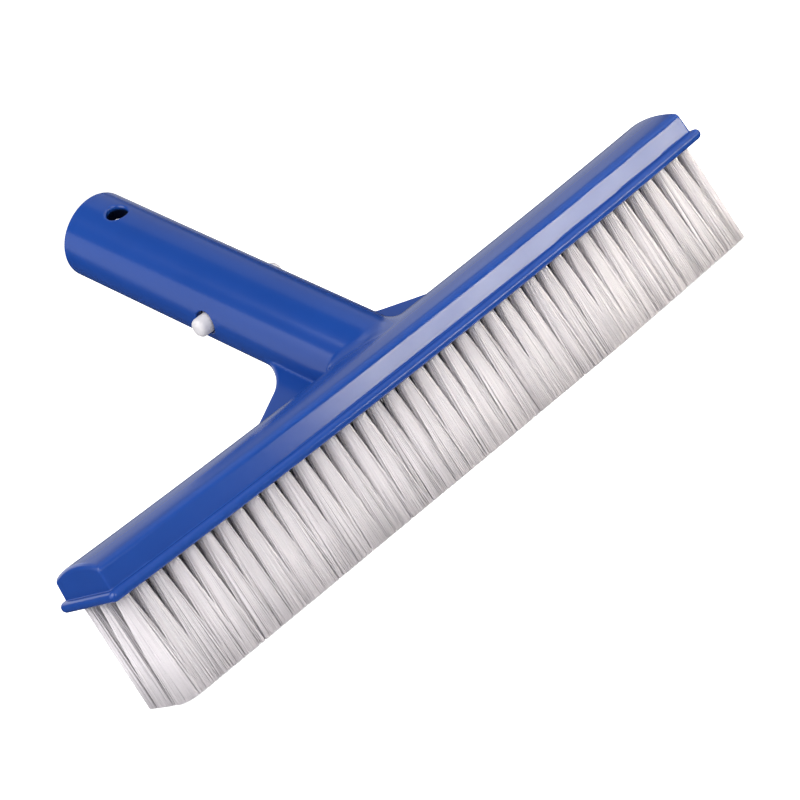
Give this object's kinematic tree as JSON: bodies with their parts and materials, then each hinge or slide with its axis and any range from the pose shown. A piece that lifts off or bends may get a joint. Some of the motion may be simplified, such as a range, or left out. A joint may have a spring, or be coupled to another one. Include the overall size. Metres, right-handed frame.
{
  "type": "pool wall brush",
  "caption": "Arched pool wall brush head with rows of nylon tufts and an inclined tubular handle whose spring buttons lock it to a telescopic pole.",
  "frame": {"origin": "middle of the bounding box's underside, on the plane of the bristle tips", "axes": "+X along the head, +Y from the head to the handle's mouth, +Z from the bristle tips up to the head"},
  "size_m": [0.256, 0.1432, 0.1212],
  "materials": {
    "blue_plastic": "moulded, glossy",
    "bristle_nylon": "fine drawn filaments",
    "clip_nylon": "moulded, satin"
  },
  "bodies": {
    "brush": {"brush_body": "blue_plastic", "tuft_column_01": "bristle_nylon", "tuft_column_02": "bristle_nylon", "tuft_column_03": "bristle_nylon", "tuft_column_04": "bristle_nylon", "tuft_column_05": "bristle_nylon", "tuft_column_06": "bristle_nylon", "tuft_column_07": "bristle_nylon", "tuft_column_08": "bristle_nylon", "tuft_column_09": "bristle_nylon", "tuft_column_10": "bristle_nylon", "tuft_column_11": "bristle_nylon", "tuft_column_12": "bristle_nylon", "tuft_column_13": "bristle_nylon", "tuft_column_14": "bristle_nylon", "tuft_column_15": "bristle_nylon", "tuft_column_16": "bristle_nylon", "tuft_column_17": "bristle_nylon", "tuft_column_18": "bristle_nylon", "tuft_column_19": "bristle_nylon", "tuft_column_20": "bristle_nylon", "tuft_column_21": "bristle_nylon", "tuft_column_22": "bristle_nylon", "tuft_column_23": "bristle_nylon", "tuft_column_24": "bristle_nylon", "tuft_column_25": "bristle_nylon", "tuft_column_26": "bristle_nylon", "tuft_column_27": "bristle_nylon", "tuft_column_28": "bristle_nylon", "tuft_column_29": "bristle_nylon", "tuft_column_30": "bristle_nylon", "tuft_column_31": "bristle_nylon", "tuft_column_32": "bristle_nylon", "tuft_column_33": "bristle_nylon", "tuft_column_34": "bristle_nylon", "tuft_column_35": "bristle_nylon", "tuft_column_36": "bristle_nylon", "tuft_column_37": "bristle_nylon", "tuft_column_38": "bristle_nylon", "tuft_column_39": "bristle_nylon", "tuft_column_40": "bristle_nylon", "clip_bridge": "clip_nylon"},
    "button_arm_left": {"clip_arm_left": "clip_nylon"},
    "button_arm_right": {"clip_arm_right": "clip_nylon"}
  },
  "joints": [
    {"name": "button_left_press", "type": "hinge", "parent": "brush", "child": "button_arm_left", "pos_m": [-0.009, -0.01843, 0.05344], "axis": [0, 0.5644, -0.8255], "range_deg": [0, 7], "stiffness_Nm_per_rad": 2, "springref_deg": -2.86},
    {"name": "button_right_press", "type": "hinge", "parent": "brush", "child": "button_arm_right", "pos_m": [0.009, -0.01843, 0.05344], "axis": [0, -0.5644, 0.8255], "range_deg": [0, 7], "stiffness_Nm_per_rad": 2, "springref_deg": -2.86}
  ]
}
